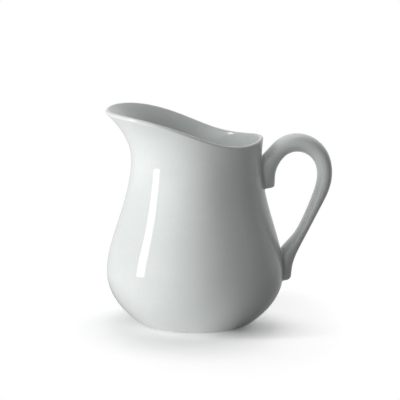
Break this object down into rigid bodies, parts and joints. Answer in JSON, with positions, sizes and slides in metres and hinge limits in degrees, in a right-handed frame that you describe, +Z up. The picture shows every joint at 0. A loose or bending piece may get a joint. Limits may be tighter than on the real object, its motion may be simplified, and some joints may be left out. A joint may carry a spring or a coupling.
{
  "type": "cream jug",
  "caption": "Pear-shaped glazed porcelain cream jug with a broad flared pouring lip and a loop handle stuck on with slip opposite it, standing on a flat foot ring.",
  "frame": {"origin": "centre of the flat bearing ring the jug stands on, at table height", "axes": "+Z up along the axis of the turned body, -X towards the pouring lip, +X towards the handle; the jug is the same on its +Y and -Y sides"},
  "size_m": [0.1058, 0.0828, 0.1002],
  "materials": {
    "porcelain_body": "gloss",
    "porcelain_handle": "gloss",
    "slip_joint": "gloss"
  },
  "bodies": {
    "root": {"jug_body": "porcelain_body", "handle": "porcelain_handle", "upper_lute": "slip_joint", "lower_lute": "slip_joint"}
  },
  "joints": []
}
